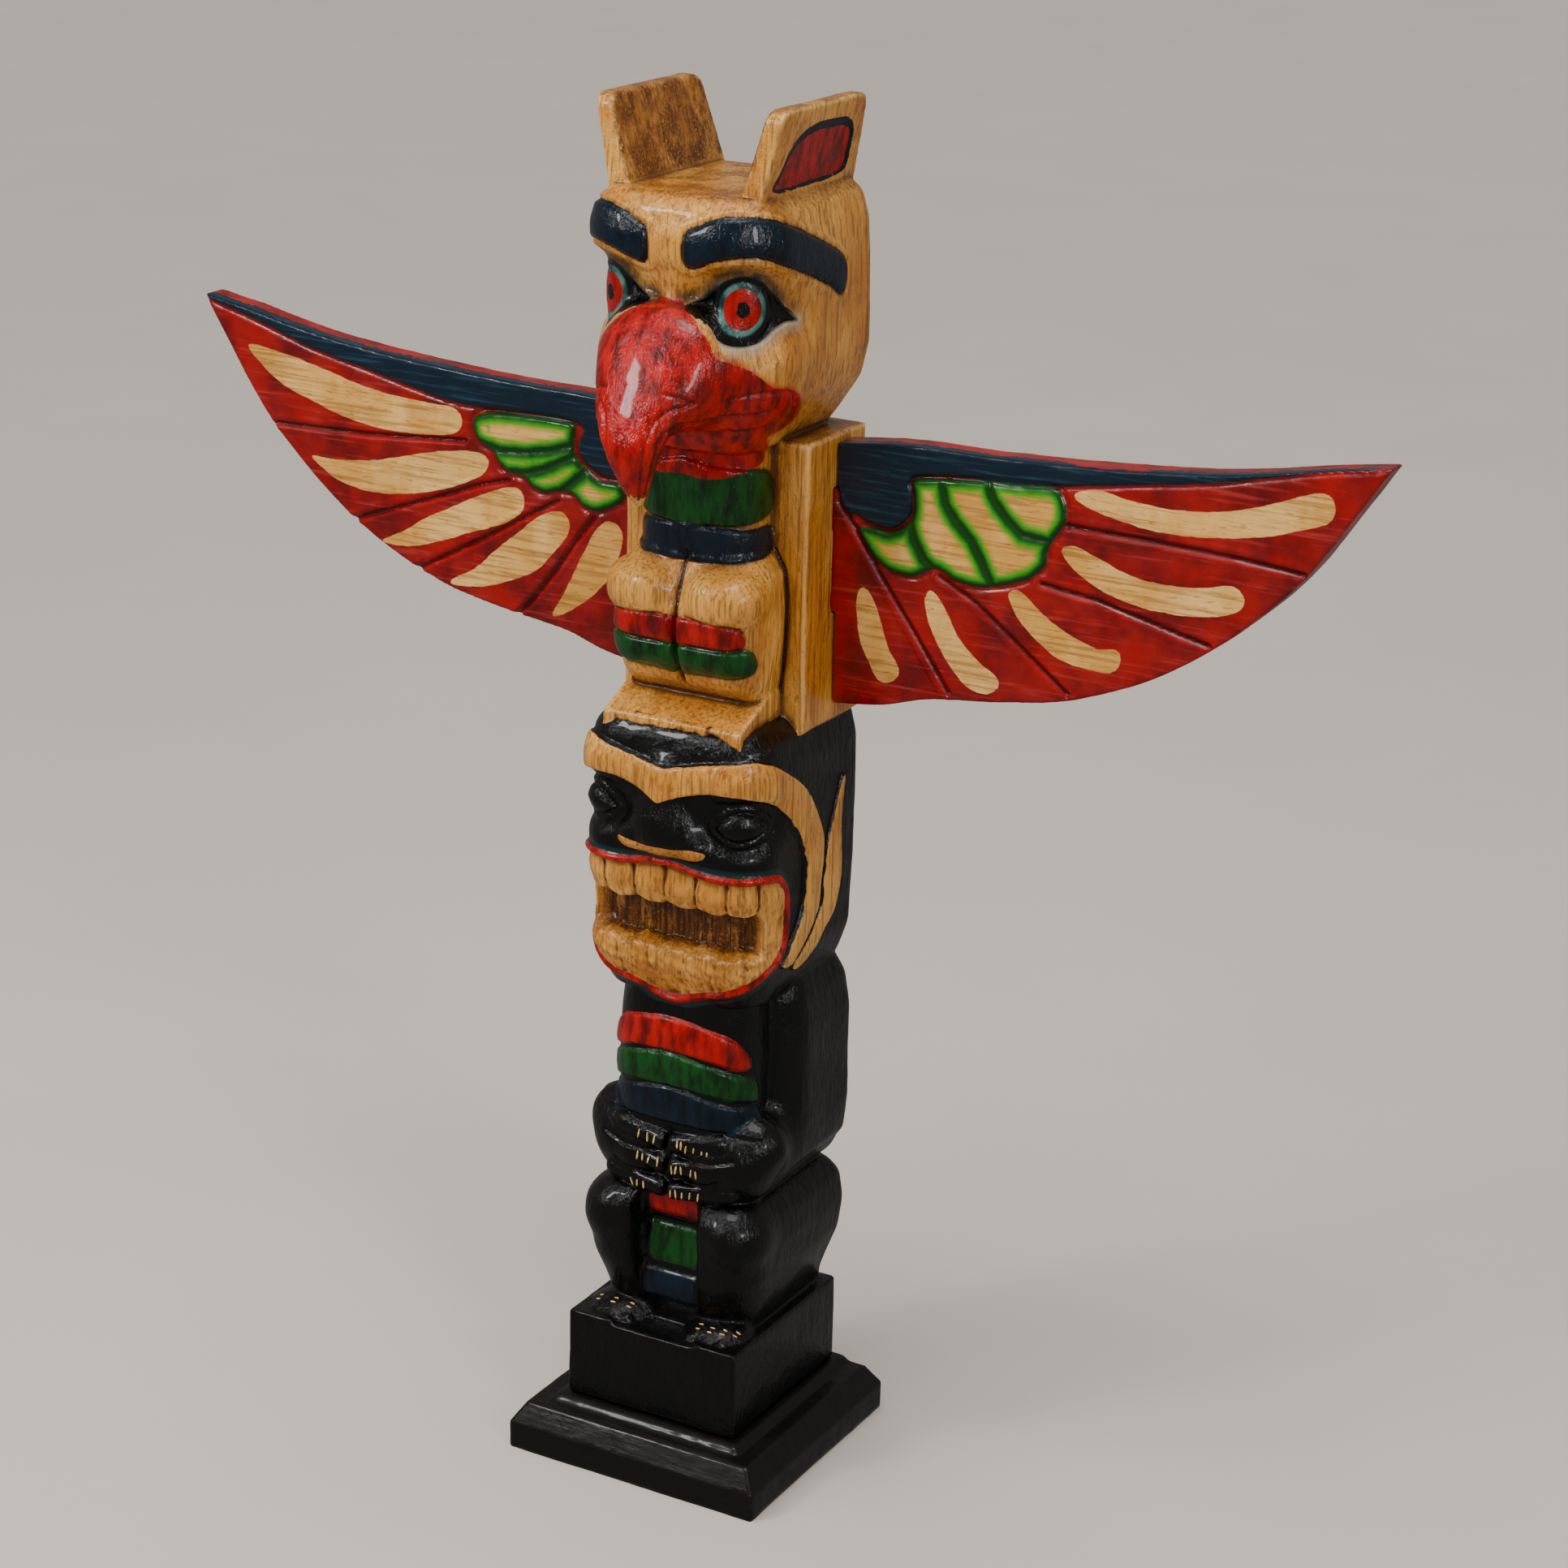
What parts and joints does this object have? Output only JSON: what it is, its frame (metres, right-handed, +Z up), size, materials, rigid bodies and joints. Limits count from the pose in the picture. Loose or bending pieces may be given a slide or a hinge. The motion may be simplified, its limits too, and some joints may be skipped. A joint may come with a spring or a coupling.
{
  "type": "totem pole",
  "caption": "Carved wooden pole of a winged bird over a seated bear, standing on a bevelled board.",
  "frame": {"origin": "on the ground under the middle of the base board", "axes": "+Z up along the pole, the carved front faces -Y, the wings spread along X"},
  "size_m": [0.947, 0.2194, 1.0023],
  "materials": {
    "honey_wood": "stained and varnished, painted in parts",
    "black_paint": "gloss black paint",
    "red_paint": "gloss red paint with coloured feathers"
  },
  "bodies": {
    "root": {"carved_pole": "honey_wood", "base_board": "black_paint", "wing_left": "red_paint", "wing_right": "red_paint"}
  },
  "joints": []
}
